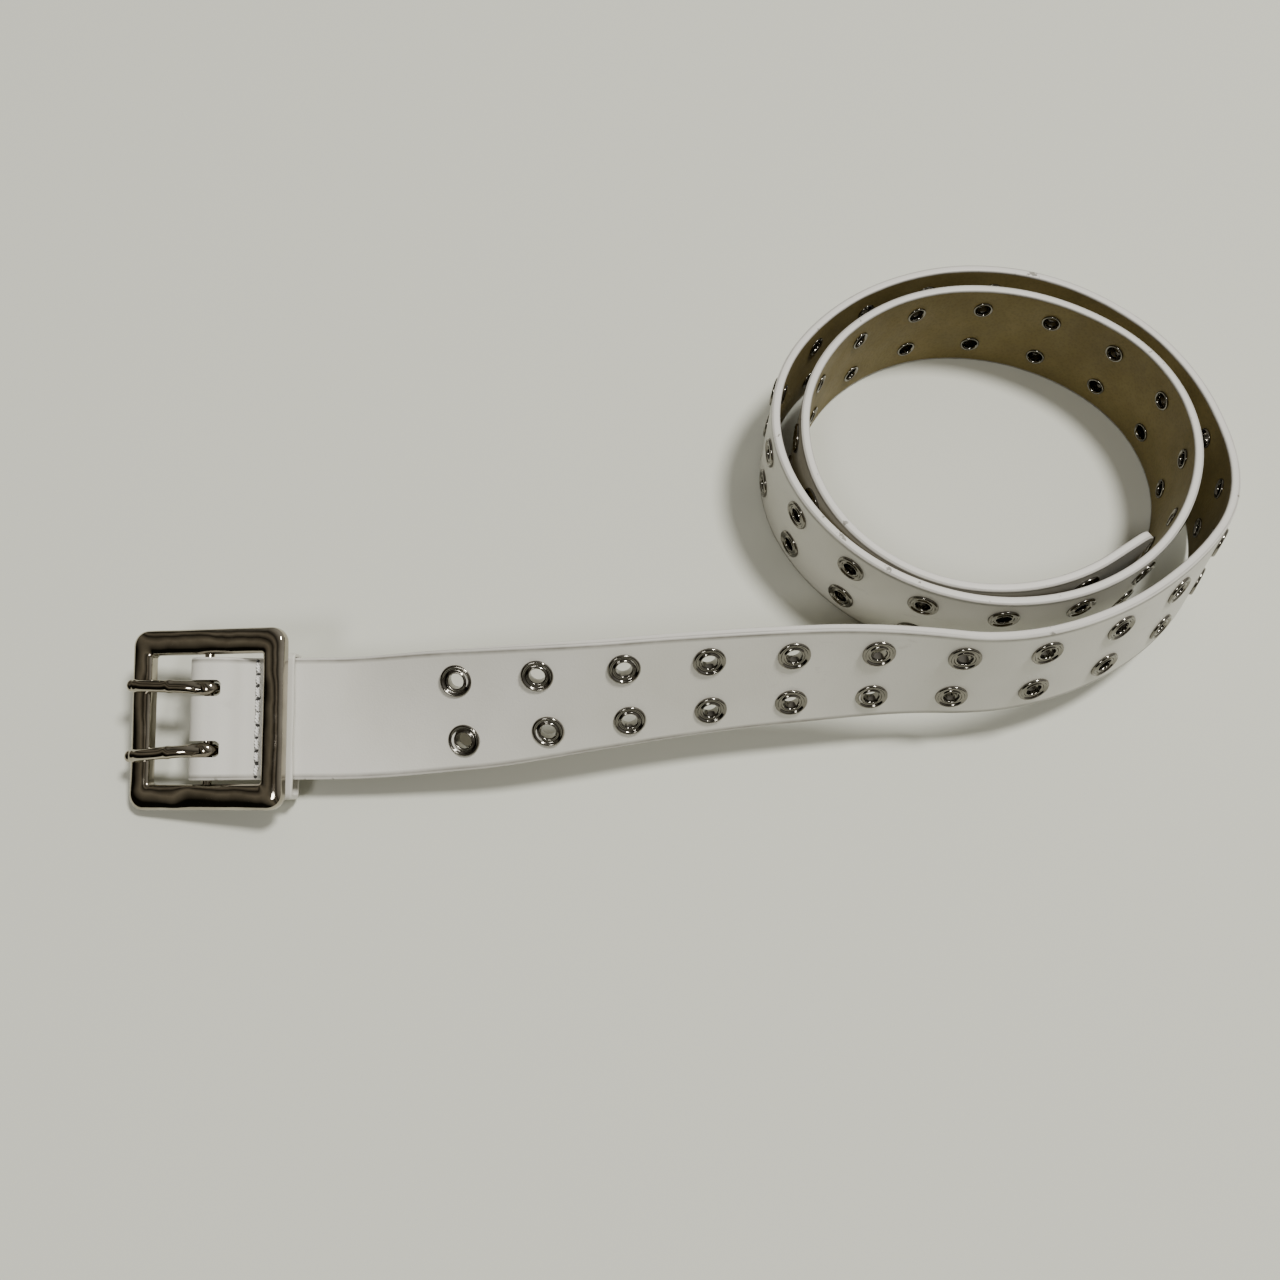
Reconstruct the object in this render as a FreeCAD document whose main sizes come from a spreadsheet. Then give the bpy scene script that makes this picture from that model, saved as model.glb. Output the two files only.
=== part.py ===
"""White strap belt with two rows of eyelets and a two-prong centre-bar buckle.

The buckle lies nearly flat, face up. From it the strap runs to +X, rolls over until it
stands on its lower edge, and winds inwards in a bit more than two left-hand turns.
"""
import FreeCAD, Part
import math
import os

from FreeCAD import Matrix, Placement, Rotation, Vector

# alias, millimetres or degrees, what it sizes
SIZES = [
    ("strap_width", 38.0, "strap, edge to edge"),
    ("face_thickness", 0.9, "white outer skin"),
    ("core_thickness", 1.2, "filler sheet"),
    ("lining_thickness", 0.9, "inner skin"),
    ("glue_line", 0.1, "between the folded tail and the top layer"),
    ("skin_setback", 0.2, "skins short of the core at each edge"),
    ("first_eyelet", 79.5, "centre bar to the first pair of eyelets"),
    ("eyelet_pitch", 25.4, "pair to pair"),
    ("eyelet_pairs", 43, "pairs along the strap"),
    ("row_spacing", 18.8, "upper row to lower row"),
    ("flange_radius", 5.0, "eyelet flange"),
    ("flange_height", 0.85, "eyelet flange, off the face"),
    ("flange_round", 0.4, "rounded edges of the eyelet's metal"),
    ("dish_radius", 3.85, "middle of the dished ring in the flange"),
    ("dish_round", 0.75, "radius of the dish's section"),
    ("barrel_radius", 2.8, "outside of the eyelet's barrel"),
    ("hole_radius", 2.4, "through the eyelet"),
    ("roll_radius", 3.7, "rolled rim at the back of the eyelet"),
    ("roll_height", 0.5, "rolled rim, off the lining"),
    ("seat", 0.12, "rolled rim to lining, for the strap's curve"),
    ("tip_corner", 7.0, "rounded corners of the strap's tip"),
    ("bar_radius", 1.5, "centre bar"),
    ("fold_clearance", 0.9, "fold to centre bar"),
    ("dip_start", 2.0, "where the top layer starts to come down to the tail"),
    ("dip_length", 13.0, "length over which it comes down"),
    ("tail_length", 31.0, "folded tail, from the centre bar"),
    ("straight_end", 38.0, "end of the straight stretch, from the centre bar"),
    ("slot_width", 5.0, "prong slots in the fold"),
    ("slot_end", 4.6, "end of the slots, from the centre bar"),
    ("frame_length", 52.0, "buckle frame along the strap"),
    ("frame_width", 56.4, "buckle frame across the strap"),
    ("frame_height", 4.4, "buckle frame, underside to top"),
    ("frame_drop", 1.8, "underside of the frame below the centre bar's axis"),
    ("window_length", 38.2, "opening of the frame along the strap"),
    ("window_width", 40.4, "opening of the frame across the strap"),
    ("frame_corner", 4.2, "outer corners of the frame"),
    ("window_corner", 0.8, "corners of the frame's opening"),
    ("frame_round", 1.9, "rounded outer top edge of the frame"),
    ("frame_bevel", 1.3, "bevelled inner top edge of the frame"),
    ("bar_seat", 3.0, "how far the centre bar is let into the frame"),
    ("prong_spacing", 19.2, "between the two prongs, on the bar"),
    ("prong_radius", 1.6, "prong wire"),
    ("prong_tip_radius", 1.35, "prong wire at its tip"),
    ("prong_rest", 0.3, "prong wire above the frame at rest"),
    ("upper_splay", 2.5, "degrees, upper prong outwards"),
    ("lower_splay", 4.0, "degrees, lower prong outwards"),
    ("loop_radius", 3.3, "prong's loop round the centre bar"),
    ("loop_width", 3.8, "prong's loop along the centre bar"),
    ("bore_clearance", 0.06, "running clearance of the loop on the bar"),
    ("stitch_place", 15.4, "stitch row from the centre bar"),
    ("stitch_radius", 0.35, "sewing thread"),
    ("stitch_length", 3.1, "one stitch"),
    ("stitch_pitch", 4.4, "stitch to stitch"),
    ("keeper_start", 19.4, "keeper from the centre bar"),
    ("keeper_width", 7.4, "keeper along the strap"),
    ("keeper_thickness", 1.2, "keeper's leather"),
    ("keeper_gap", 0.3, "keeper to strap"),
    ("keeper_slack", 4.6, "keeper past the strap's lower edge"),
    ("keeper_outer_round", 2.0, "keeper's outer bends"),
    ("keeper_inner_round", 0.8, "keeper's inner bends"),
    ("staple_wire", 0.8, "staple that closes the keeper"),
    ("staple_crown", 5.0, "staple's length"),
    ("buckle_roll", 20.0, "degrees, buckle end about the strap's length"),
    ("frame_tilt", 13.4, "degrees, frame about the centre bar, right-hand side up"),
    ("bar_height", 17.3, "centre bar above the floor"),
]

doc = FreeCAD.newDocument("EyeletBelt")
sheet = doc.addObject("Spreadsheet::Sheet", "Sizes")
for row, (alias, value, note) in enumerate(SIZES, start=1):
    sheet.set("A%d" % row, alias)
    sheet.set("B%d" % row, str(value))
    sheet.set("C%d" % row, note)
    sheet.setAlias("B%d" % row, alias)
doc.recompute()


def size(alias):
    """Value of one cell of the sheet."""
    return float(sheet.get(alias))


WIDTH = size("strap_width")
THICKNESS = size("face_thickness") + size("core_thickness") + size("lining_thickness")
FOLD_RADIUS = size("bar_radius") + size("fold_clearance") + THICKNESS / 2
STRAIGHT_END = size("straight_end")

# Layers of the strap, as distances from its middle: inner side, outer side.
LAYERS = {
    "strap_face": (THICKNESS / 2 - size("face_thickness"), THICKNESS / 2),
    "strap_core": (size("lining_thickness") - THICKNESS / 2,
                   THICKNESS / 2 - size("face_thickness")),
    "strap_lining": (-THICKNESS / 2, size("lining_thickness") - THICKNESS / 2),
}

# The strap's middle line seen from above, as runs of (length, bend radius).
# Left-hand bends are positive, right-hand bends negative, and 0 is straight.
LEAD_RUNS = [(42, -1650), (50, 360), (60, -1110), (40, -295), (40, 94), (60, 111), (60, 69.4)]
COIL_RUNS = [(60, 76.5), (60, 74.8), (60, 82), (60, 59.2), (60, 71.4), (60, 72.7), (60, 70.8),
             (60, 54.2), (60, 74.2), (60, 64.9), (60, 61.2), (60, 56.1), (45, 68.8), (19, 0)]
COIL_START = STRAIGHT_END + sum(length for length, radius in LEAD_RUNS)

# Distance along the strap and roll in degrees: 0 is face up, 90 stands on the lower edge.
ROLL = [(STRAIGHT_END, size("buckle_roll")), (80, 36), (120, 54), (160, 62.5),
        (190, 66.6), (240, 77.2), (300, 79), (COIL_START, 90)]
# Half the stretch of strap that gives its direction, flat sections of the twisting stretch,
# and how far a drill passes the strap's faces.
HALF_STEP, LEAD_SECTIONS, DRILL_OVERRUN = 0.5, 44, 0.4


def smooth(table, place):
    """Monotone cubic through (place, value) pairs, level at both ends."""
    places = [pair[0] for pair in table]
    values = [pair[1] for pair in table]
    place = min(max(place, places[0]), places[-1])
    steps = [b - a for a, b in zip(places, places[1:])]
    rises = [(b - a) / step for a, b, step in zip(values, values[1:], steps)]
    slopes = [0.0]
    for before, after in zip(rises, rises[1:]):
        product = before * after
        slopes.append(2 * product / (before + after) if product > 0 else 0.0)
    slopes.append(0.0)
    i = max(k for k in range(len(steps)) if k == 0 or places[k] <= place)
    u = (place - places[i]) / steps[i]
    return ((2 * u**3 - 3 * u**2 + 1) * values[i] + (u**3 - 2 * u**2 + u) * steps[i] * slopes[i]
            + (3 * u**2 - 2 * u**3) * values[i + 1] + (u**3 - u**2) * steps[i] * slopes[i + 1])


def advance(x, y, heading, length, radius):
    """Point and heading after one run."""
    if radius == 0:
        return x + length * math.cos(heading), y + length * math.sin(heading), heading
    turned = heading + length / radius
    return (x + radius * (math.sin(turned) - math.sin(heading)),
            y - radius * (math.cos(turned) - math.cos(heading)), turned)


def along(runs, x, y, heading, distance):
    """Point and heading at a distance along the runs."""
    for length, radius in runs:
        here = min(distance, length)
        x, y, heading = advance(x, y, heading, here, radius)
        distance -= here
    return x, y, heading


def strip(runs, x, y, heading, inner, outer):
    """Flat face between two offsets of a path in the XY plane.

    Offsets count to the right of the path."""
    def offset(x, y, heading, distance):
        return Vector(x + distance * math.sin(heading), y - distance * math.cos(heading), 0)

    edges = [Part.makeLine(offset(x, y, heading, inner), offset(x, y, heading, outer))]
    for length, radius in runs:
        start = (x, y, heading)
        middle = advance(x, y, heading, length / 2, radius)
        end = advance(x, y, heading, length, radius)
        for distance in (inner, outer):
            first, last = offset(*start, distance), offset(*end, distance)
            if radius == 0:
                edges.append(Part.makeLine(first, last))
            else:
                edges.append(Part.Arc(first, offset(*middle, distance), last).toShape())
        x, y, heading = end
    edges.append(Part.makeLine(offset(x, y, heading, inner), offset(x, y, heading, outer)))
    return Part.Face(Part.Wire(Part.__sortEdges__(edges)))


def axes(origin, along_x, along_y):
    """Placement with its X and Y along two directions."""
    z = along_x.cross(along_y)
    return Placement(Matrix(along_x.x, along_y.x, z.x, origin.x,
                            along_x.y, along_y.y, z.y, origin.y,
                            along_x.z, along_y.z, z.z, origin.z, 0, 0, 0, 1))


# The buckle end: origin on the centre bar, X along the strap, Y across it, Z out of its face.
ROLL_ANGLE = math.radians(size("buckle_roll"))
BUCKLE_END = axes(Vector(0, 0, size("bar_height")), Vector(1, 0, 0),
                  Vector(0, math.cos(ROLL_ANGLE), math.sin(ROLL_ANGLE)))
STRAP_START = BUCKLE_END.multVec(Vector(0, 0, THICKNESS + size("glue_line") - FOLD_RADIUS))

# Distance along the strap and height of its lower edge above the floor.
LIFT = [(STRAIGHT_END, STRAP_START.z - WIDTH / 2 * math.sin(ROLL_ANGLE)
         - THICKNESS / 2 * math.cos(ROLL_ANGLE)),
        (120, 15.4), (200, 15.5), (260, 15.5), (320, 11.8), (COIL_START, 0)]


def middle(place):
    """Middle of the strap at a distance along it, and its heading seen from above."""
    if place <= STRAIGHT_END:
        return STRAP_START + Vector(place, 0, 0), 0.0
    x, y, heading = along(LEAD_RUNS + COIL_RUNS, STRAIGHT_END, STRAP_START.y, 0.0,
                          place - STRAIGHT_END)
    roll = math.radians(smooth(ROLL, place))
    height = smooth(LIFT, place) + WIDTH / 2 * math.sin(roll)
    height += THICKNESS / 2 * math.cos(roll)
    return Vector(x, y, height), heading


def station(place):
    """Placement on the strap's middle: X along it, Y across it, Z out of its face."""
    point, heading = middle(place)
    if STRAIGHT_END < place < COIL_START:
        tangent = middle(place + HALF_STEP)[0] - middle(place - HALF_STEP)[0]
        tangent.normalize()
    else:
        tangent = Vector(math.cos(heading), math.sin(heading), 0)
    level = Vector(-math.sin(heading), math.cos(heading), 0)
    upright = tangent.cross(level)
    roll = math.radians(smooth(ROLL, place))
    return axes(point, tangent, level * math.cos(roll) + upright * math.sin(roll))


def fold_solid(inner, outer, width):
    """The tail, the bend round the centre bar, and the top layer as far as the twist."""
    drop = 2 * FOLD_RADIUS - THICKNESS - size("glue_line")
    run = size("dip_length")
    dip_radius = (run**2 + drop**2) / (4 * drop)
    dip_arc = dip_radius * 2 * math.atan(drop / run)
    flat = STRAIGHT_END - size("dip_start") - run
    runs = [(size("tail_length"), 0), (math.pi * FOLD_RADIUS, FOLD_RADIUS),
            (size("dip_start"), 0), (dip_arc, dip_radius), (dip_arc, -dip_radius), (flat, 0)]
    face = strip(runs, size("tail_length"), FOLD_RADIUS, math.pi, inner, outer)
    solid = face.extrude(Vector(0, 0, width))
    stand = Placement(Vector(0, -width / 2, 0), Rotation(Vector(1, 0, 0), -90))
    solid.Placement = BUCKLE_END.multiply(stand)
    return solid


def lead_solid(inner, outer, width):
    """The twisting stretch between the buckle end and the coil."""
    sections = []
    for i in range(LEAD_SECTIONS + 1):
        here = station(STRAIGHT_END + (COIL_START - STRAIGHT_END) * i / LEAD_SECTIONS)
        corners = [Vector(0, side * width / 2, depth)
                   for side, depth in ((-1, inner), (1, inner), (1, outer), (-1, outer))]
        corners = [here.multVec(corner) for corner in corners]
        sections.append(Part.makePolygon(corners + corners[:1]))
    return Part.makeLoft(sections, True, True)


def coil_solid(inner, outer, width):
    """The stretch that stands on its lower edge and winds inwards."""
    point, heading = middle(COIL_START)
    solid = strip(COIL_RUNS, point.x, point.y, heading, inner, outer).extrude(Vector(0, 0, width))
    solid.translate(Vector(0, 0, (WIDTH - width) / 2))
    return solid


def tip_corners():
    """What the rounded corners take off the tip."""
    radius = size("tip_corner")
    end = station(COIL_START + sum(length for length, bend in COIL_RUNS) - HALF_STEP)
    corner = Vector(HALF_STEP - radius, WIDTH / 2 - radius, -THICKNESS)
    cutters = []
    for side in (-1, 1):
        block = Part.makeBox(radius + 1, radius + 1, 2 * THICKNESS, corner)
        round_off = Part.makeCylinder(radius, 2 * THICKNESS, corner)
        cutter = block.cut(round_off)
        if side < 0:
            cutter = cutter.mirror(Vector(), Vector(0, 1, 0))
        cutter.Placement = end.multiply(cutter.Placement)
        cutters.append(cutter)
    return cutters


def eyelet_places(side):
    """Placements of one row of eyelets."""
    for i in range(int(size("eyelet_pairs"))):
        here = station(size("first_eyelet") + i * size("eyelet_pitch"))
        yield here.multiply(Placement(Vector(0, side * size("row_spacing") / 2, 0), Rotation()))


def eyelet_holes():
    """Cylinders for the barrels of all the eyelets, just longer than the strap is thick."""
    holes = []
    reach = THICKNESS / 2 + DRILL_OVERRUN
    for side in (-1, 1):
        for place in eyelet_places(side):
            hole = Part.makeCylinder(size("barrel_radius"), 2 * reach, Vector(0, 0, -reach))
            hole.Placement = place
            holes.append(hole)
    return holes


def prong_slots():
    """Boxes for the two slots in the fold."""
    slots = []
    depth = 2 * FOLD_RADIUS + 2 * THICKNESS
    for side in (-1, 1):
        y = side * size("prong_spacing") / 2 - size("slot_width") / 2
        slot = Part.makeBox(size("slot_end") + depth / 2, size("slot_width"), depth,
                            Vector(-depth / 2, y, -depth / 2))
        slot.Placement = BUCKLE_END
        slots.append(slot)
    return slots


def bind(item, **bindings):
    """Drive an object's properties from the sheet."""
    for name, formula in bindings.items():
        item.setExpression(name.replace("_", "."), formula)
    return item


def primitive(kind, label, **bindings):
    """Part primitive with its sizes bound to the sheet."""
    item = doc.addObject("Part::" + kind, label)
    return bind(item, **bindings)


def combine(kind, label, base, tool):
    """Boolean of two objects."""
    item = doc.addObject("Part::" + kind, label)
    if kind == "Cut":
        item.Base, item.Tool = base, tool
    else:
        item.Shapes = [base, tool]
    doc.recompute()
    return item


def dress(kind, label, base, amount, wanted):
    """Fillet or chamfer on the edges whose middle point passes a test."""
    item = doc.addObject("Part::" + kind, label)
    item.Base = base
    picked = []
    for number, edge in enumerate(base.Shape.Edges, start=1):
        if wanted(edge):
            picked.append((number, amount, amount))
    item.Edges = picked
    doc.recompute()
    return item


def mid_point(edge):
    """Point halfway along an edge."""
    return edge.valueAt((edge.FirstParameter + edge.LastParameter) / 2)


def coded(label, shape):
    """Document object for a shape made in code."""
    item = doc.addObject("Part::Feature", label)
    item.Shape = shape
    return item


def rounded_box(label, corner, length, width, height, drop):
    """Box centred on the centre bar in X and Y, with rounded upright edges."""
    box = primitive("Box", label, Length=length, Width=width, Height=height,
                    Placement_Base_x="-(%s) / 2" % length, Placement_Base_y="-(%s) / 2" % width,
                    Placement_Base_z=drop)
    doc.recompute()
    return dress("Fillet", label + "Corners", box, corner,
                 lambda edge: abs(edge.tangentAt(edge.FirstParameter).z) > 0.9)


def build_frame():
    """Buckle frame: rounded outside, bevelled window, seats for the centre bar."""
    outer = rounded_box("FrameBlock", size("frame_corner"), "Sizes.frame_length",
                        "Sizes.frame_width", "Sizes.frame_height", "-Sizes.frame_drop")
    window = rounded_box("FrameWindow", size("window_corner"), "Sizes.window_length",
                         "Sizes.window_width", "Sizes.frame_height", "-Sizes.frame_drop")
    ring = combine("Cut", "FrameRing", outer, window)
    top = size("frame_height") - size("frame_drop")

    def outside(edge):
        point = mid_point(edge)
        return (abs(point.x) > size("window_length") / 2 + 1
                or abs(point.y) > size("window_width") / 2 + 1)

    def on_top(edge):
        return abs(mid_point(edge).z - top) < 0.01 and abs(edge.CenterOfMass.z - top) < 0.01

    crown = dress("Fillet", "FrameCrown", ring, size("frame_round"),
                  lambda edge: on_top(edge) and outside(edge))
    bevel = dress("Chamfer", "FrameBevel", crown, size("frame_bevel"),
                  lambda edge: on_top(edge) and not outside(edge)
                  and abs(mid_point(edge).x) < size("window_length") / 2 + 0.1
                  and abs(mid_point(edge).y) < size("window_width") / 2 + 0.1)
    return combine("Cut", "buckle_frame", bevel, bar_cylinder("FrameSeats"))


def bar_cylinder(label):
    """Centre bar along Y, let into both sides of the frame."""
    bar = primitive("Cylinder", label, Radius="Sizes.bar_radius",
                    Height="Sizes.window_width + 2 * Sizes.bar_seat")
    bar.Placement = Placement(Vector(0, size("window_width") / 2 + size("bar_seat"), 0),
                              Rotation(Vector(1, 0, 0), 90))
    doc.recompute()
    return bar


def prong_shape(splay):
    """Prong: loop round the bar and a tapering shank that rests on the frame's left side."""
    radius, width = size("loop_radius"), size("loop_width")
    loop = Part.makeCylinder(radius, width, Vector(0, -width / 2, 0), Vector(0, 1, 0))
    bore = Part.makeCylinder(size("bar_radius") + size("bore_clearance"), width + 2,
                             Vector(0, -width / 2 - 1, 0), Vector(0, 1, 0))
    rest = size("frame_height") - size("frame_drop") + size("prong_rest")
    reach = size("frame_length") / 2
    slope = math.tan(math.radians(splay))
    track = [(0.2, 1.6), (-4.6, 4.3), (-10.4, rest + 2.2), (5.8 - reach, rest + 2.0),
             (3.4 - reach, rest + 1.5), (-0.6 - reach, rest + 1.2)]
    points = [Vector(x, slope * x, z) for x, z in track]
    curve = Part.BSplineCurve()
    curve.interpolate(points)
    start = curve.tangent(curve.FirstParameter)[0]
    finish = curve.tangent(curve.LastParameter)[0]
    shell = Part.BRepOffsetAPI.MakePipeShell(Part.Wire(curve.toShape()))
    shell.setFrenetMode(False)
    tip = size("prong_tip_radius")
    shell.add(Part.Wire(Part.makeCircle(size("prong_radius"), points[0], start)))
    shell.add(Part.Wire(Part.makeCircle(tip, points[-1], finish)))
    shell.build()
    shell.makeSolid()
    nose = Part.makeSphere(tip, points[-1])
    return loop.fuse([shell.shape(), nose]).removeSplitter().cut(bore)


def build_eyelet():
    """One eyelet about its own axis: face side up, Z = 0 at the strap's middle."""
    flange = primitive("Cylinder", "EyeletFlange", Radius="Sizes.flange_radius",
                       Height="Sizes.flange_height", Placement_Base_z=HALF)
    doc.recompute()
    edge_round = size("flange_round")
    flange = dress("Fillet", "EyeletCrown", flange, edge_round,
                   lambda edge: mid_point(edge).z > THICKNESS / 2 + 0.1 and edge.Closed
                   and abs(edge.tangentAt(0).z) < 0.1)
    dish = primitive("Torus", "EyeletDish", Radius1="Sizes.dish_radius",
                     Radius2="Sizes.dish_round",
                     Placement_Base_z=HALF + " + Sizes.flange_height + Sizes.dish_round / 3")
    face = combine("Cut", "EyeletFace", flange, dish)
    barrel = primitive("Cylinder", "EyeletBarrel", Radius="Sizes.barrel_radius",
                       Height="2 * (%s) + Sizes.seat" % HALF,
                       Placement_Base_z="-(%s) - Sizes.seat" % HALF)
    roll = primitive("Cylinder", "EyeletRoll", Radius="Sizes.roll_radius",
                     Height="Sizes.roll_height",
                     Placement_Base_z="-(%s) - Sizes.seat - Sizes.roll_height" % HALF)
    doc.recompute()
    roll = dress("Fillet", "EyeletRollRound", roll, edge_round,
                 lambda edge: mid_point(edge).z < -THICKNESS / 2 - size("roll_height")
                 and edge.Closed and abs(edge.tangentAt(0).z) < 0.1)
    solid = combine("MultiFuse", "EyeletMetal", combine("MultiFuse", "EyeletShank", face, barrel),
                    roll)
    hole = primitive("Cylinder", "EyeletHole", Radius="Sizes.hole_radius",
                     Height="4 * (%s)" % HALF, Placement_Base_z="-2 * (%s)" % HALF)
    doc.recompute()
    return combine("Cut", "Eyelet", solid, hole)


def thread_stitch(x, y, z):
    """One stitch lying across the strap."""
    radius, length = size("stitch_radius"), size("stitch_length")
    half = length / 2 - radius
    rod = Part.makeCylinder(radius, 2 * half, Vector(x, y - half, z), Vector(0, 1, 0))
    ends = [Part.makeSphere(radius, Vector(x, y + side * half, z)) for side in (-1, 1)]
    return rod.fuse(ends)


def stitch_row():
    """Stitches on the top layer and on the underside of the tail."""
    radius, pitch = size("stitch_radius"), size("stitch_pitch")
    top = THICKNESS * 1.5 + size("glue_line") - FOLD_RADIUS + radius
    underside = -FOLD_RADIUS - THICKNESS / 2 - radius
    return [thread_stitch(size("stitch_place"), i * pitch, z)
            for z in (top, underside) for i in range(-4, 5)]


def build_keeper():
    """Closed band round the strap and its tail, with room below the lower edge."""
    low = "-(%s + Sizes.fold_clearance + Sizes.bar_radius) - %s" % (HALF, HALF)
    inner_height = "(%s) * 4 + Sizes.glue_line + 2 * Sizes.keeper_gap" % HALF
    inner_width = "Sizes.strap_width + 2 * Sizes.keeper_gap + Sizes.keeper_slack"
    wall = "Sizes.keeper_thickness"
    outer = primitive("Box", "KeeperOuter", Length="Sizes.keeper_width",
                      Width="%s + 2 * %s" % (inner_width, wall),
                      Height="%s + 2 * %s" % (inner_height, wall),
                      Placement_Base_x="Sizes.keeper_start",
                      Placement_Base_y="-Sizes.strap_width / 2 - Sizes.keeper_gap"
                                       " - Sizes.keeper_slack - " + wall,
                      Placement_Base_z="%s - Sizes.keeper_gap - %s" % (low, wall))
    inner = primitive("Box", "KeeperInner", Length="Sizes.keeper_width",
                      Width=inner_width, Height=inner_height,
                      Placement_Base_x="Sizes.keeper_start",
                      Placement_Base_y="-Sizes.strap_width / 2 - Sizes.keeper_gap"
                                       " - Sizes.keeper_slack",
                      Placement_Base_z="%s - Sizes.keeper_gap" % low)
    doc.recompute()

    def lengthwise(edge):
        return abs(edge.tangentAt(edge.FirstParameter).x) > 0.9

    outer = dress("Fillet", "KeeperOuterRound", outer, size("keeper_outer_round"), lengthwise)
    inner = dress("Fillet", "KeeperInnerRound", inner, size("keeper_inner_round"), lengthwise)
    band = combine("Cut", "KeeperBand", outer, inner)
    return combine("Cut", "keeper_loop", band, coded("StapleHoles", staple_shape()))


def staple_shape():
    """Staple under the keeper: a crown and two legs into the leather."""
    radius, half = size("staple_wire") / 2, size("staple_crown") / 2 - size("staple_wire") / 2
    x = size("keeper_start") + size("keeper_width") / 2
    underside = -FOLD_RADIUS - THICKNESS / 2 - size("keeper_gap") - size("keeper_thickness")
    z = underside - radius
    crown = Part.makeCylinder(radius, 2 * half, Vector(x, -half, z), Vector(0, 1, 0))
    parts = []
    for side in (-1, 1):
        parts.append(Part.makeSphere(radius, Vector(x, side * half, z)))
        parts.append(Part.makeCylinder(radius, radius + size("keeper_thickness"),
                                       Vector(x, side * half, z)))
    return crown.fuse(parts).removeSplitter()


HALF = "(Sizes.face_thickness + Sizes.core_thickness + Sizes.lining_thickness) / 2"
TILT = BUCKLE_END.multiply(Placement(Vector(), Rotation(Vector(0, 1, 0), -size("frame_tilt"))))
nodes = {}

cutters = eyelet_holes() + prong_slots() + tip_corners()
for label, (inner, outer) in LAYERS.items():
    width = WIDTH if label == "strap_core" else WIDTH - 2 * size("skin_setback")
    layer = fold_solid(inner, outer, width)
    layer = layer.fuse([lead_solid(inner, outer, width), coil_solid(inner, outer, width)])
    nodes[label] = (coded(label, layer.removeSplitter().cut(cutters)), Placement())

eyelet = build_eyelet()
for label, side in (("eyelets_upper_row", 1), ("eyelets_lower_row", -1)):
    copies = []
    for place in eyelet_places(side):
        copy = eyelet.Shape.copy()
        copy.Placement = place
        copies.append(copy)
    nodes[label] = (coded(label, Part.makeCompound(copies)), Placement())

nodes["fold_stitching"] = (coded("fold_stitching", Part.makeCompound(stitch_row())), BUCKLE_END)
nodes["buckle_frame"] = (build_frame(), TILT)
nodes["centre_bar"] = (bar_cylinder("centre_bar"), TILT)
for label, side, splay in (("prong_upper", 1, size("upper_splay")),
                           ("prong_lower", -1, size("lower_splay"))):
    seat = Placement(Vector(0, side * size("prong_spacing") / 2, 0), Rotation())
    nodes[label] = (coded(label, prong_shape(-side * splay)), TILT.multiply(seat))
nodes["keeper_loop"] = (build_keeper(), BUCKLE_END)
nodes["keeper_staple"] = (coded("keeper_staple", staple_shape()), BUCKLE_END)

for label, (item, place) in nodes.items():
    item.Label = label
    item.Placement = place.multiply(item.Placement)
doc.recompute()

# Origin: bottom centre of the whole part.
whole = FreeCAD.BoundBox()
for item, place in nodes.values():
    whole.add(item.Shape.optimalBoundingBox(False))
shift = Placement(Vector(-whole.Center.x, -whole.Center.y, -whole.ZMin), Rotation())
for item, place in nodes.values():
    item.Placement = shift.multiply(item.Placement)
doc.recompute()

for item in doc.Objects:
    if "Invalid" in item.State or "Error" in item.State:
        raise RuntimeError("%s did not recompute: %s" % (item.Label, item.State))

os.makedirs("parts", exist_ok=True)
for label, (item, place) in nodes.items():
    if item.Shape.isNull() or not item.Shape.isValid():
        raise RuntimeError("%s has no valid shape" % label)
    item.Shape.exportStep("parts/%s.step" % label)
    print("%-18s %3d solids  %9.1f mm3" % (label, len(item.Shape.Solids), item.Shape.Volume))

bar = shift.multVec(BUCKLE_END.Base)
print("size %.2f x %.2f x %.2f" % (whole.XLength, whole.YLength, whole.ZLength))
print("centre bar at %.3f, %.3f, %.3f" % (bar.x, bar.y, bar.z))
rest = shift.multVec(middle(COIL_START + 200)[0])
print("coil stands on its lower edge, as at %.3f, %.3f" % (rest.x, rest.y))
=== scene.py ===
"""Looks of the eyelet belt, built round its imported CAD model.

Blender works in metres. The belt's own sizes are in millimetres, as in the CAD model, and
MM turns them into metres. The strap is described by a distance s along its middle line, a
width w across it and a depth n out of its white face.
"""
import math
import random

import bmesh
import bpy
from mathutils import Matrix, Vector, noise


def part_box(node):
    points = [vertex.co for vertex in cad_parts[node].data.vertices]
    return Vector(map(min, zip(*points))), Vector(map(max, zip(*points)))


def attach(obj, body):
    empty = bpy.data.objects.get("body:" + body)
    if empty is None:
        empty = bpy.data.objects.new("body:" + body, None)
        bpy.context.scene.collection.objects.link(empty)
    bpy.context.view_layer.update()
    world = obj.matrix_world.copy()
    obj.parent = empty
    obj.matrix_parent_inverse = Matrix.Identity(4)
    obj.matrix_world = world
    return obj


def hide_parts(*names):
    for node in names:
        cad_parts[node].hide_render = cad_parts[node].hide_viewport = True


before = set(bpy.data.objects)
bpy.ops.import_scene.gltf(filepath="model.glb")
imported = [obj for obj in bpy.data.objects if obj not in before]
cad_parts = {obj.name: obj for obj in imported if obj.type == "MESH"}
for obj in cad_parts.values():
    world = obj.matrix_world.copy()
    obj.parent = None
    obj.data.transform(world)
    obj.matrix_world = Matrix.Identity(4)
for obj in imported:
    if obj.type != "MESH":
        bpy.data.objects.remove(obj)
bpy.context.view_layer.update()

MM = 0.001
NEAR = 0.01  # places closer than this are the same

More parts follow.
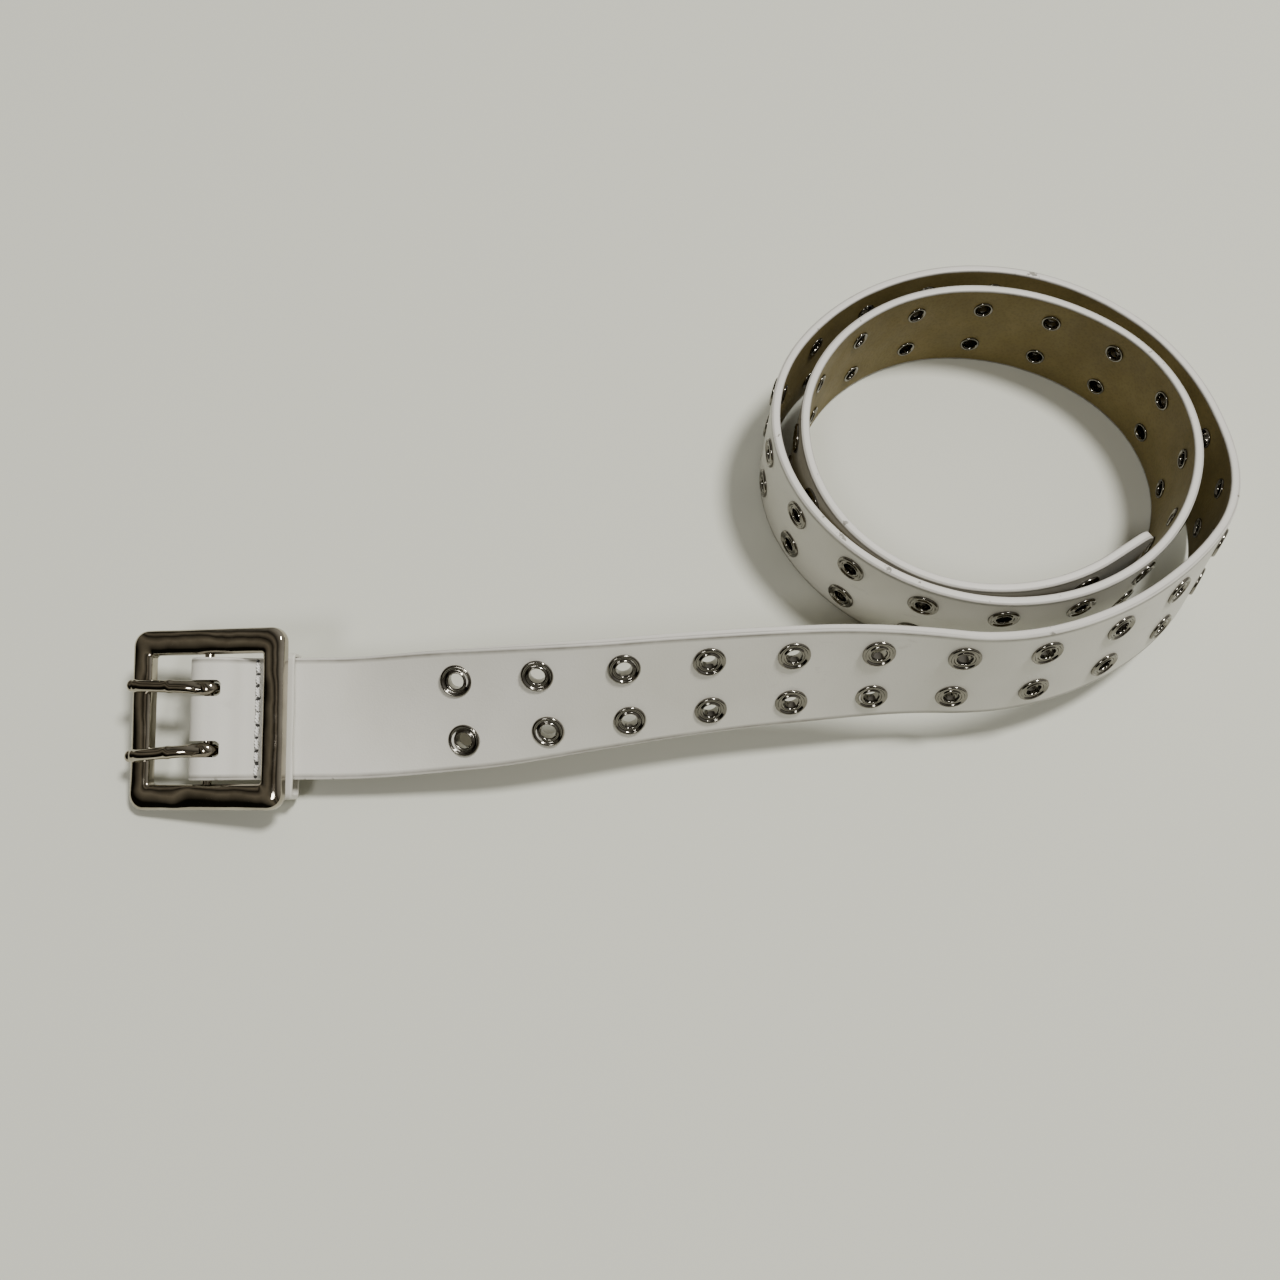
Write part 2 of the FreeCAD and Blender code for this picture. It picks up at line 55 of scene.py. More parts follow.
# Strap, as in the CAD model.
WIDTH, THICKNESS = 38.0, 3.0
BAR_RADIUS = 1.5
FOLD_RADIUS = 3.9
GLUE_LINE = 0.1
TAIL, STRAIGHT_END, SLOT_END, SLOT_TOP_END = 31.0, 38.0, 4.6, 4.7
DIP_START, DIP_LENGTH = 2.0, 13.0
PRONG_SPACING = 19.2
TIP_CORNER = 7.0
BUCKLE_ROLL, FRAME_TILT = math.radians(20.0), math.radians(13.4)
FIRST_EYELET, PITCH, PAIRS, ROW_SPACING = 79.5, 25.4, 43, 18.8
HOLE_RADIUS = 2.8
# The strap's path from above: runs of (length, radius), a bend to the left being positive.
LEAD_RUNS = [(42, -1650), (50, 360), (60, -1110), (40, -295), (40, 94), (60, 111), (60, 69.4)]
COIL_RUNS = [(60, 76.5), (60, 74.8), (60, 82), (60, 59.2), (60, 71.4), (60, 72.7), (60, 70.8),
             (60, 54.2), (60, 74.2), (60, 64.9), (60, 61.2), (60, 56.1), (45, 68.8), (19, 0)]
COIL_START = STRAIGHT_END + sum(length for length, radius in LEAD_RUNS)
STRAP_END = COIL_START + sum(length for length, radius in COIL_RUNS)
# Roll of the strap from lying flat, in degrees, along the strap.
ROLL = [(STRAIGHT_END, 20), (80, 36), (120, 54), (160, 62.5), (190, 66.6), (240, 77.2),
        (300, 79), (COIL_START, 90)]


def axes(origin, x, y):
    """Matrix with its X and Y along two directions."""
    z = x.cross(y)
    return Matrix(((x.x, y.x, z.x, origin.x), (x.y, y.y, z.y, origin.y),
                   (x.z, y.z, z.z, origin.z), (0, 0, 0, 1)))


def box_middle(node):
    """Middle of a CAD node's box, in millimetres."""
    low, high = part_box(node)
    return (low + high) / 2 / MM


# Buckle end: origin on the centre bar, X along the strap, Y across it, Z out of its face.
BUCKLE = axes(box_middle("centre_bar"), Vector((1, 0, 0)),
              Vector((0, math.cos(BUCKLE_ROLL), math.sin(BUCKLE_ROLL))))
TILT = BUCKLE @ Matrix.Rotation(-FRAME_TILT, 4, "Y")
STRAP_START = BUCKLE @ Vector((0, 0, THICKNESS + GLUE_LINE - FOLD_RADIUS))
# Height of the strap's lower edge above the floor, along the strap.
LIFT = [(STRAIGHT_END, STRAP_START.z - WIDTH / 2 * math.sin(BUCKLE_ROLL)
         - THICKNESS / 2 * math.cos(BUCKLE_ROLL)),
        (120, 15.4), (200, 15.5), (260, 15.5), (320, 11.8), (COIL_START, 0)]


# ---- the strap's path ----

def smooth(table, place):
    """Monotone cubic through (place, value) pairs, level at both ends."""
    places = [pair[0] for pair in table]
    values = [pair[1] for pair in table]
    place = min(max(place, places[0]), places[-1])
    steps = [b - a for a, b in zip(places, places[1:])]
    rises = [(b - a) / step for a, b, step in zip(values, values[1:], steps)]
    slopes = [0.0]
    for before, after in zip(rises, rises[1:]):
        product = before * after
        slopes.append(2 * product / (before + after) if product > 0 else 0.0)
    slopes.append(0.0)
    i = max(k for k in range(len(steps)) if k == 0 or places[k] <= place)
    u = (place - places[i]) / steps[i]
    return ((2 * u**3 - 3 * u**2 + 1) * values[i] + (u**3 - 2 * u**2 + u) * steps[i] * slopes[i]
            + (3 * u**2 - 2 * u**3) * values[i + 1] + (u**3 - u**2) * steps[i] * slopes[i + 1])


def advance(x, y, heading, length, radius):
    """Point and heading after one run; left-hand bends have a positive radius."""
    if radius == 0:
        return x + length * math.cos(heading), y + length * math.sin(heading), heading
    turned = heading + length / radius
    return (x + radius * (math.sin(turned) - math.sin(heading)),
            y - radius * (math.cos(turned) - math.cos(heading)), turned)


def along(runs, x, y, heading, distance):
    """Point and heading at a distance along the runs."""
    for length, radius in runs:
        here = min(distance, length)
        x, y, heading = advance(x, y, heading, here, radius)
        distance -= here
    return x, y, heading


def middle(s):
    """Middle of the strap at a distance from the centre bar, and its heading from above."""
    x, y, heading = along(LEAD_RUNS + COIL_RUNS, STRAP_START.x + STRAIGHT_END, STRAP_START.y,
                          0.0, s - STRAIGHT_END)
    roll = math.radians(smooth(ROLL, s))
    height = smooth(LIFT, s) + WIDTH / 2 * math.sin(roll) + THICKNESS / 2 * math.cos(roll)
    return Vector((x, y, height)), heading


NUDGE = 0.5  # distance to either side over which the lead's slope is measured


def station(s):
    """Matrix on the strap's middle: X along it, Y across it, Z out of its white face."""
    point, heading = middle(s)
    tangent = Vector((math.cos(heading), math.sin(heading), 0))
    if STRAIGHT_END + NUDGE < s < COIL_START - NUDGE:
        tangent = (middle(s + NUDGE)[0] - middle(s - NUDGE)[0]).normalized()
    level = Vector((-math.sin(heading), math.cos(heading), 0))
    upright = tangent.cross(level)
    roll = math.radians(smooth(ROLL, s))
    return axes(point, tangent, level * math.cos(roll) + upright * math.sin(roll))


# Behind the bar the top layer dips down onto the tail in two equal arcs.
DROP = 2 * FOLD_RADIUS - THICKNESS - GLUE_LINE
DIP_RADIUS = (DIP_LENGTH**2 + DROP**2) / (4 * DROP)
DIP_ARC = DIP_RADIUS * 2 * math.atan(DROP / DIP_LENGTH)
BEND = math.pi * FOLD_RADIUS
FOLD_RUNS = [(TAIL, 0), (BEND, -FOLD_RADIUS), (DIP_START, 0), (DIP_ARC, -DIP_RADIUS),
             (DIP_ARC, DIP_RADIUS), (STRAIGHT_END - DIP_START - DIP_LENGTH, 0)]
FOLD_LENGTH = sum(length for length, radius in FOLD_RUNS)


def fold_station(distance):
    """Matrix on the folded end, at a distance from the end of the tail."""
    x, z, heading = along(FOLD_RUNS, TAIL, -FOLD_RADIUS, math.pi, distance)
    tangent = Vector((math.cos(heading), 0, math.sin(heading)))
    return BUCKLE @ axes(Vector((x, 0, z)), tangent, Vector((0, 1, 0)))


def spread(start, end, count):
    """Evenly spaced numbers from start up to, but not including, end."""
    return [start + (end - start) * i / count for i in range(count)]


def clamp(value):
    """Value kept between 0 and 1."""
    return min(1.0, max(0.0, value))


class Station:
    """One section of the strap: its place, cut-outs, slot width, half width and thickness."""

    def __init__(self, matrix, s, slot=False, eyelet=None, squeeze=1.0, half=WIDTH / 2,
                 thick=1.0):
        self.matrix, self.s, self.slot, self.eyelet = matrix, s, slot, eyelet
        self.squeeze, self.half, self.thick = squeeze, half, thick


GRID = 1.27  # sections and columns round an eyelet hole
SLOT_ROUND, SLOT_NARROWING = 1.4, 0.6
DIP_SPAN, CORNER_SECTIONS = 12, 12
TIP_ROUNDING, TIP_THINNING = 0.8, 0.95


def fold_stations():
    """Sections from the end of the tail round the fold, with the prong slots in its bend."""
    slot_from = TAIL - SLOT_END
    slot_to = TAIL + BEND + SLOT_TOP_END
    # Start of each stretch and the number of sections in it.
    stretches = [(0, 16), (slot_from, 3), (TAIL, 16), (TAIL + BEND, 9), (slot_to, 14),
                 (slot_to + DIP_SPAN, 16), (FOLD_LENGTH, 0)]
    stations = []
    for (begin, count), (end, _) in zip(stretches, stretches[1:]):
        for d in spread(begin, end, count):
            rounding = clamp((d - slot_to + SLOT_ROUND) / SLOT_ROUND)
            narrowing = SLOT_NARROWING * rounding**2 if d < slot_to + NEAR else 0.0
            stations.append(Station(fold_station(d), d - FOLD_LENGTH + STRAIGHT_END,
                                    slot_from - NEAR < d < slot_to - NEAR,
                                    squeeze=math.sqrt(1 - narrowing)))
    return stations


def eyelet_stations():
    """Sections from the end of the fold to the far side of the last eyelet."""
    plain = spread(STRAIGHT_END, FIRST_EYELET - 2 * GRID, 20)
    stations = [Station(station(s), s) for s in plain]
    for i in range(PAIRS):
        centre = FIRST_EYELET + i * PITCH
        for k in range(-2, 3):
            stations.append(Station(station(centre + k * GRID), centre + k * GRID, eyelet=k))
        if i < PAIRS - 1:
            gap = spread(centre + 2 * GRID, centre + PITCH - 2 * GRID, 10)[1:]
            stations += [Station(station(s), s) for s in gap]
    return stations


def tip_stations():
    """Sections past the last eyelet, with the tip's rounded corners and rounded end."""
    last_edge = FIRST_EYELET + (PAIRS - 1) * PITCH + 2 * GRID
    corner = STRAP_END - TIP_CORNER
    stations = [Station(station(s), s) for s in spread(last_edge, corner, 8)[1:]]
    for i in range(CORNER_SECTIONS + 1):
        angle = math.pi / 2 * i / CORNER_SECTIONS
        s = corner + TIP_CORNER * math.sin(angle)
        half = WIDTH / 2 - TIP_CORNER * (1 - math.cos(angle))
        inset = clamp((s - STRAP_END + TIP_ROUNDING) / TIP_ROUNDING)
        stations.append(Station(station(s), s, half=half,
                                thick=math.sqrt(1 - TIP_THINNING * inset**2)))
    return stations


# ---- mesh helpers ----

def make_object(name, vertices, faces, material, body, attributes=None):
    """Mesh piece in metres from millimetre vertices, riding on a CAD body."""
    mesh = bpy.data.meshes.new(name)
    mesh.from_pydata([vertex * MM for vertex in vertices], [], faces)
    mesh.validate()
    shell = bmesh.new()
    shell.from_mesh(mesh)
    bmesh.ops.recalc_face_normals(shell, faces=shell.faces)
    shell.to_mesh(mesh)
    shell.free()
    mesh.shade_smooth()
    for key, values in (attributes or {}).items():
        layer = mesh.attributes.new(key, "FLOAT", "POINT")
        layer.data.foreach_set("value", values)
    mesh.materials.append(material)
    piece = bpy.data.objects.new(name, mesh)
    bpy.context.scene.collection.objects.link(piece)
    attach(piece, body)
    return piece


def sharpen(piece, degrees):
    """Hard shading across edges sharper than an angle."""
    piece.data.set_sharp_from_angle(angle=math.radians(degrees))


def tube_faces(rings, count, closed_ring=True):
    """Quads between rings of vertices; the list of rings may close on itself."""
    faces = []
    for i in range(rings if closed_ring else rings - 1):
        for j in range(count):
            a, b = i * count, (i + 1) % rings * count
            faces.append((a + j, b + j, b + (j + 1) % count, a + (j + 1) % count))
    return faces


def end_caps(total, count):
    """Faces over a tube's first and last rings of count vertices."""
    return [tuple(range(count)), tuple(range(total - 1, total - 1 - count, -1))]


# ---- the strap ----

ROW = ROW_SPACING / 2
CENTRE_COLUMNS = [0, 2.3, 4.6, ROW - 2 * GRID, ROW - GRID, ROW, ROW + GRID, ROW + 2 * GRID,
                  13.6, 15.3, 16.9]
HALF_THICK = THICKNESS / 2
# Outside and inside of the white skin, as (w, n) pairs past the centre columns.
EDGE_BEAD = [(18.1, 1.5), (18.5, 1.46), (18.8, 1.28), (18.96, 1.0), (19.0, 0.6), (19.0, 0.0),
             (19.0, -0.6), (18.96, -1.0), (18.8, -1.28), (18.5, -1.46), (18.25, -1.5)]
# Dark line where the edge paint meets the face and the lining, per edge bead point.
EDGE_SEAM = [0.9, 0.3, 0.1, 0.65, 0.1, 0, 0, 0.1, 0.45, 0.95, 1.0]
SKIN_INSIDE, LINING_INSIDE = -0.95, -1.0
LINING_EDGE = [(17.6, -1.46), (18.0, -1.44), (18.2, -1.36), (18.22, -1.2)]
LINING_PROUD = 0.04
# Inner corners of the two layers: first width, its step, and the slope of the depth.
SKIN_CORNER, SKIN_STEP, LINING_CORNER, LINING_STEP, CORNER_SLOPE = 17.7, 0.05, 17.5, 0.1, 0.03
PAINT_START, PAINT_FADE = 18.0, 0.7
RIPPLE, RIPPLE_ALONG, RIPPLE_ACROSS, RIPPLE_START = 0.10, 23, 17, 20


def skin_columns():
    """(w, n outside, w inside, n inside) of the white skin, across the strap."""
    half = [(w, HALF_THICK, w, SKIN_INSIDE) for w in CENTRE_COLUMNS]
    for k, (w, n) in enumerate(EDGE_BEAD):
        half.append((w, n, SKIN_CORNER + SKIN_STEP * k, SKIN_INSIDE - CORNER_SLOPE * k))
    return mirrored(half)


def lining_columns():
    """The same for the lining, whose outside is the strap's inner side."""
    half = [(w, LINING_PROUD - HALF_THICK, w, LINING_INSIDE) for w in CENTRE_COLUMNS]
    for k, (w, n) in enumerate(LINING_EDGE):
        half.append((w, n, LINING_CORNER + LINING_STEP * k, LINING_INSIDE - CORNER_SLOPE * k))
    return mirrored(half)


def mirrored(half):
    """Columns for both sides from those of the upper half."""
    other = [(-w, n, -inner_w, inner_n) for w, n, inner_w, inner_n in half[:0:-1]]
    return other + half


def cut_out(here, after, w_low, w_high):
    """Whether the quad between two stations and two columns is a hole or a slot."""
    low, high = sorted((abs(w_low), abs(w_high)))
    if w_low * w_high < 0 or high > PAINT_START:
        return False
    in_row = ROW - 2 * GRID - NEAR < low and high < ROW + 2 * GRID + NEAR
    in_eyelet = here.eyelet is not None and after.eyelet is not None
    return in_row and (in_eyelet or here.slot)


def place_vertex(here, w, n):
    """Vertex of the strap; the ones round a hole move onto its circle."""
    shift = 0.0
    side = math.copysign(1.0, w)
    if here.eyelet is not None and abs(abs(w) - ROW) < 2 * GRID + NEAR:
        ds, dw = here.eyelet * GRID, w - side * ROW
        if max(abs(ds), abs(dw)) > 2 * GRID - NEAR:
            reach = HOLE_RADIUS / math.hypot(ds, dw)
            shift, w = ds * (reach - 1), side * ROW + dw * reach
    if abs(abs(w) - ROW) < 2 * GRID + NEAR:
        w = side * ROW + (w - side * ROW) * here.squeeze
    w = math.copysign(min(abs(w), abs(w) * here.half / (WIDTH / 2)), w)
    ripple = RIPPLE * noise.noise(Vector((here.s / RIPPLE_ALONG, w / RIPPLE_ACROSS, 0)))
    ripple *= clamp((here.s - STRAIGHT_END) / RIPPLE_START)
    return here.matrix @ Vector((shift, w, n * here.thick + ripple))


def slab(name, stations, columns, material, body):
    """Closed sheet of the strap, with round eyelet holes and prong slots through it."""
    rows, across = len(stations), len(columns)
    vertices, edge, seam = [], [], []
    for here in stations:
        for w, n, inner_w, inner_n in columns:
            for width, depth in ((w, n), (inner_w, inner_n)):
                vertices.append(place_vertex(here, width, depth))
                edge.append(clamp((abs(width) - PAINT_START) / PAINT_FADE))
                bead = (abs(width), depth)
                seam.append(EDGE_SEAM[EDGE_BEAD.index(bead)] if bead in EDGE_BEAD else 0.0)

    def index(i, j, layer):
        return (i * across + j) * 2 + layer

    kept = {(i, j) for i in range(rows - 1) for j in range(across - 1)
            if not cut_out(stations[i], stations[i + 1], columns[j][0], columns[j + 1][0])}
    faces = []
    for i, j in sorted(kept):
        corners = [(i, j), (i + 1, j), (i + 1, j + 1), (i, j + 1)]
        faces.append([index(a, b, 0) for a, b in corners])
        faces.append([index(a, b, 1) for a, b in reversed(corners)])
        beside = [(i, j - 1), (i + 1, j), (i, j + 1), (i - 1, j)]
        for k, neighbour in enumerate(beside):
            if neighbour not in kept:
                (a, b), (c, d) = corners[k], corners[(k + 1) % 4]
                faces.append([index(a, b, 1), index(c, d, 1), index(c, d, 0), index(a, b, 0)])
    used = sorted({v for face in faces for v in face})
    place = {v: k for k, v in enumerate(used)}
    return make_object(name, [vertices[v] for v in used],
                       [[place[v] for v in face] for face in faces], material, body,
                       {"edge": [edge[v] for v in used], "seam": [seam[v] for v in used]})


# ---- metal ----

# Lathed section of an eyelet: radius and height over the strap's middle.
EYELET_PROFILE = [
    (2.74, 1.2), (4.6, 1.2), (4.95, 1.32), (5.06, 1.66), (4.98, 2.02), (4.78, 2.27), (4.5, 2.36),
    (4.24, 2.26), (4.06, 2.02), (3.9, 1.82), (3.6, 1.74), (3.3, 1.78), (3.12, 1.95),
    (2.96, 2.14), (2.76, 2.18), (2.55, 2.08), (2.42, 1.85), (2.36, 1.5), (2.36, 0.0),
    (2.4, -1.3), (2.55, -1.7), (2.8, -2.0), (3.05, -2.12), (3.3, -2.04), (3.44, -1.84),
    (3.46, -1.64), (3.3, -1.5), (2.74, -1.4)]
EYELET_SEGMENTS, EYELET_TIP = 40, 0.02


def eyelet_row(name, side, material):
    """One row of lathed eyelets in one mesh, each slightly turned and tipped."""
    rng = random.Random(side + 5)
    vertices, faces = [], []
    for i in range(PAIRS):
        here = station(FIRST_EYELET + i * PITCH) @ Matrix.Translation((0, side * ROW, 0))
        for axis in "XY":
            here = here @ Matrix.Rotation(rng.uniform(-EYELET_TIP, EYELET_TIP), 4, axis)
        start = len(vertices)
        for r, z in EYELET_PROFILE:
            for k in range(EYELET_SEGMENTS):
                angle = 2 * math.pi * k / EYELET_SEGMENTS
                vertices.append(here @ Vector((r * math.cos(angle), r * math.sin(angle), z)))
        faces += [tuple(v + start for v in face)
                  for face in tube_faces(len(EYELET_PROFILE), EYELET_SEGMENTS)]
    return make_object(name, vertices, faces, material, "strap")


SIDE_STEPS = 10


def rounded_outline(half_x, half_y, radius, segments):
    """Points round a rectangle with rounded corners, from its right side, anticlockwise."""
    corners = [(1, 1), (-1, 1), (-1, -1), (1, -1)]
    points = []
    for corner, (sx, sy) in enumerate(corners):
        cx, cy = sx * (half_x - radius), sy * (half_y - radius)
        for k in range(segments + 1):
            angle = math.pi / 2 * (corner + k / segments)
            points.append((cx + radius * math.cos(angle), cy + radius * math.sin(angle)))
        x, y = points[-1]
        next_x, next_y = corners[(corner + 1) % 4]
        to_x = next_x * (half_x - radius) if corner % 2 == 0 else x
        to_y = y if corner % 2 == 0 else next_y * (half_y - radius)
        for k in range(1, SIDE_STEPS):
            points.append((x + (to_x - x) * k / SIDE_STEPS, y + (to_y - y) * k / SIDE_STEPS))
    return points


FRAME_HALF, WINDOW_HALF = (26.0, 28.2), (19.1, 20.2)
FRAME_CORNER, WINDOW_CORNER, CORNER_STEPS = 4.8, 0.9, 10
# Section of the frame: share of the way from the outside to the window, and height.
FRAME_SECTION = [
    (0.0, -1.2), (0.0, 0.5), (0.012, 1.05), (0.045, 1.52), (0.10, 1.9), (0.18, 2.18),
    (0.30, 2.42), (0.45, 2.56), (0.60, 2.58), (0.75, 2.48), (0.87, 2.28), (0.94, 2.04),
    (0.98, 1.7), (1.0, 1.25), (1.0, -1.3), (0.985, -1.62), (0.94, -1.78), (0.5, -1.8),
    (0.07, -1.78), (0.015, -1.6)]


def buckle_frame(material):
    """Cast frame with a pillowed face and a crisp window edge."""
    outer = rounded_outline(*FRAME_HALF, FRAME_CORNER, CORNER_STEPS)
    inner = rounded_outline(*WINDOW_HALF, WINDOW_CORNER, CORNER_STEPS)
    vertices = []
    for share, z in FRAME_SECTION:
        for (ax, ay), (bx, by) in zip(outer, inner):
            vertices.append(TILT @ Vector((ax + (bx - ax) * share, ay + (by - ay) * share, z)))
    return make_object("buckle_frame_cast", vertices,
                       tube_faces(len(FRAME_SECTION), len(outer)), material, "buckle")


def swept_tube(points, widths, heights, across, segments):
    """Rings and faces of an oval tube along points, closed at both ends."""
    vertices = []
    for i, point in enumerate(points):
        before, after = points[max(0, i - 1)], points[min(len(points) - 1, i + 1)]
        tangent = (after - before).normalized()
        up = tangent.cross(across).normalized()
        for k in range(segments):
            angle = 2 * math.pi * k / segments
            vertices.append(point + across * (widths[i] * math.cos(angle))
                            + up * (heights[i] * math.sin(angle)))
    faces = tube_faces(len(points), segments, closed_ring=False)
    return vertices, faces + end_caps(len(vertices), segments)


def catmull(points, steps):
    """Smooth curve through points of any length."""
    curve = []
    for i in range(len(points) - 1):
        a, b = points[max(0, i - 1)], points[i]
        c, d = points[i + 1], points[min(len(points) - 1, i + 2)]
        for k in range(steps):
            u = k / steps
            curve.append(0.5 * ((2 * b) + (c - a) * u + (2 * a - 5 * b + 4 * c - d) * u**2
                                + (3 * b - a - 3 * c + d) * u**3))
    curve.append(points[-1])
    return curve


# Prong wire in the tilted buckle's XZ plane: x, z, half width and half height.
PRONG_TRACK = [
    (-25.8, 3.9, 0.3, 0.25), (-25.65, 3.94, 1.0, 0.75), (-25.25, 3.98, 1.6, 1.12),
    (-24.6, 4.04, 1.9, 1.3), (-23.7, 4.14, 1.94, 1.36), (-22.9, 4.3, 2.08, 1.46),
    (-21.9, 4.58, 1.88, 1.44), (-20.2, 4.85, 1.86, 1.5), (-16.0, 5.05, 1.9, 1.55),
    (-12.0, 5.15, 1.94, 1.6), (-10.4, 5.25, 2.1, 1.7), (-9.0, 5.15, 1.96, 1.6),
    (-6.6, 4.85, 1.94, 1.5), (-4.4, 4.4, 2.0, 1.4), (-2.6, 3.75, 2.15, 1.3)]
# The loop round the bar: it tucks in and narrows below the strap's top layer.
WRAP_RADIUS, WRAP_INSIDE, WRAP_WIDTH, WRAP_HEIGHT = 3.1, 2.35, 2.25, 1.1
WRAP_START, WRAP_END, WRAP_STEPS = 105, -205, 30
DOME_FROM, WRAP_HIDDEN_WIDTH, WRAP_THINNING = 1.3, 0.8, 0.3
TRACK_STEPS, WIRE_SEGMENTS = 5, 28


def dome_width(x):
    """Half width of the wrap where it bends down: a half circle seen from above."""
    reach = WRAP_RADIUS + WRAP_HEIGHT - DOME_FROM
    share = clamp((x * (1 + WRAP_HEIGHT / WRAP_RADIUS) - DOME_FROM) / reach)
    return max(WRAP_HIDDEN_WIDTH, WRAP_WIDTH * math.sqrt(1 - share**2))


def prong(name, side, splay, material, body):
    """Prong: a bent wire on the frame's left side whose other end wraps round the bar."""
    seat = TILT @ Matrix.Translation((0, side * PRONG_SPACING / 2, 0))
    slope = -side * math.tan(math.radians(splay))
    curve = catmull([Vector(row) for row in PRONG_TRACK], TRACK_STEPS)
    for k in range(WRAP_STEPS + 1):
        angle = math.radians(WRAP_START + (WRAP_END - WRAP_START) * k / WRAP_STEPS)
        tuck = clamp(-angle)
        radius = WRAP_RADIUS + (WRAP_INSIDE - WRAP_RADIUS) * tuck
        x, z = radius * math.cos(angle), radius * math.sin(angle)
        width = dome_width(x) if angle > 0 else WRAP_HIDDEN_WIDTH + tuck
        curve.append(Vector((x, z, width, WRAP_HEIGHT - WRAP_THINNING * tuck)))
    points = [seat @ Vector((x, slope * min(x, 0), z)) for x, z, _, _ in curve]
    vertices, faces = swept_tube(points, [row[2] for row in curve], [row[3] for row in curve],
                                 TILT.to_3x3() @ Vector((0, 1, 0)), WIRE_SEGMENTS)
    piece = make_object(name, vertices, faces, material, body)
    sharpen(piece, 60)
    return piece


BAR_HALF_LENGTH, BAR_SEGMENTS = 23.1, 32
# Rounded end of the bar: radius and distance in from the end.
BAR_END = [(0.9, 0), (1.35, 0.15), (BAR_RADIUS, 0.45)]


def centre_bar(material):
    """Steel bar between the frame's sides, with rounded ends."""
    profile = [(r, inset - BAR_HALF_LENGTH) for r, inset in BAR_END] + [(BAR_RADIUS, 0.0)]
    profile += [(r, BAR_HALF_LENGTH - inset) for r, inset in reversed(BAR_END)]
    vertices = []
    for r, y in profile:
        for k in range(BAR_SEGMENTS):
            angle = 2 * math.pi * k / BAR_SEGMENTS
            vertices.append(TILT @ Vector((r * math.cos(angle), y, r * math.sin(angle))))
    faces = tube_faces(len(profile), BAR_SEGMENTS, closed_ring=False) + end_caps(
        len(vertices), BAR_SEGMENTS)
    return make_object("centre_bar_steel", vertices, faces, material, "buckle")


# ---- thread and keeper ----

STITCH_PLACE, STITCH_PITCH, STITCH_LENGTH = 15.4, 4.0, 3.3
STITCH_REACH = 18.5
STITCH_RISE, STITCH_SINK, STITCH_EACH_SIDE = 0.75, 0.3, 4
PLY_RADIUS, PLY_OFFSET, PLY_TURNS, PLY_SWING = 0.38, 0.36, 1.6, 0.2
PLY_SECTIONS, PLY_SIDES = 24, 8
LENS_POINTS, LENS_BULGE = 14, 0.01
TOP_FACE = 1.5 * THICKNESS + GLUE_LINE - FOLD_RADIUS
TAIL_UNDER = -FOLD_RADIUS - HALF_THICK


def ply(centre, length, lean, out, turned):
    """One ply of a stitch: an arch over the leather that twists round its neighbour."""
    points, radii = [], []
    for k in range(PLY_SECTIONS + 1):
        u = k / PLY_SECTIONS
        turn = turned + 2 * math.pi * PLY_TURNS * u
        arch = math.sin(math.pi * u) ** 0.5
        points.append(centre + Vector((
            lean * (u - 0.5) + PLY_OFFSET * math.cos(turn), length * (u - 0.5),
            out * (STITCH_RISE * arch - STITCH_SINK + PLY_SWING * math.sin(turn)))))
        radii.append(PLY_RADIUS * (0.75 + 0.25 * arch))
    return swept_tube(points, radii, radii, Vector((1, 0, 0)), PLY_SIDES)


def lens(centre, half_x, half_y):
    """Flat lens let into the leather, for the painted shade in each needle hole and the painted
    contact shadow beside each stitch.
    """
    rim = []
    for angle in spread(0, 2 * math.pi, LENS_POINTS):
        y = centre.y + half_y * math.sin(angle)
        rim.append(Vector((centre.x + half_x * math.cos(angle),
                           max(-STITCH_REACH, min(STITCH_REACH, y)), centre.z)))
    inside = sum(rim, Vector()) / LENS_POINTS
    bulge = Vector((0, 0, LENS_BULGE))
    sides = []
    for k in range(LENS_POINTS):
        after = (k + 1) % LENS_POINTS
        sides += [(k, after, LENS_POINTS), (after, k, LENS_POINTS + 1)]
    return rim + [inside + bulge, inside - bulge], sides


def stitching(material):
    """Two rows of two-ply stitches that dive at their ends into needle holes, with painted shade
    in the holes and a painted contact shadow beside each stitch.
    """
    rng = random.Random(11)
    # dark holds painted shade per vertex: none on the thread, full in the needle holes, 0.75 on
    # the contact shadows.
    vertices, faces, dark = [], [], []

    def join(shape, shade):
        start = len(vertices)
        vertices.extend(BUCKLE @ vertex for vertex in shape[0])
        faces.extend(tuple(v + start for v in face) for face in shape[1])
        dark.extend([shade] * len(shape[0]))

    for surface, out in ((TOP_FACE, 1), (TAIL_UNDER, -1)):
        for i in range(-STITCH_EACH_SIDE, STITCH_EACH_SIDE + 1):
            y = i * STITCH_PITCH + rng.uniform(-0.2, 0.2)
            length = STITCH_LENGTH + rng.uniform(-0.9, 0.1)
            lean = rng.uniform(-0.5, 0.5)
            for turned in (0, math.pi):
                join(ply(Vector((STITCH_PLACE, y, surface)), length, lean, out, turned), 0.0)
            # Dark lenses at both ends of each stitch: painted shade in the needle holes.
            for end in (-1, 1):
                hole = Vector((STITCH_PLACE + end * lean / 2 + rng.uniform(-0.12, 0.12),
                               y + end * (length / 2 + 0.22), surface + out * 0.015))
                join(lens(hole, rng.uniform(0.45, 0.75), rng.uniform(0.7, 1.0)), 1.0)
            # Thin dark lens beside the stitch: a painted contact shadow.
            contact_shadow = Vector((STITCH_PLACE - 0.62, y, surface + out * 0.01))
            join(lens(contact_shadow, 0.3, length * 0.55), 0.75)
    return make_object("fold_stitches", vertices, faces, material, "strap", {"dark": dark})


KEEPER_START, KEEPER_WIDTH, KEEPER_THICK, KEEPER_GAP, KEEPER_SLACK = 19.4, 7.4, 1.2, 0.3, 4.6
KEEPER_CORNER, KEEPER_STEPS, KEEPER_SAG, SAG_WAVE = 0.9, 8, 0.12, 0.31


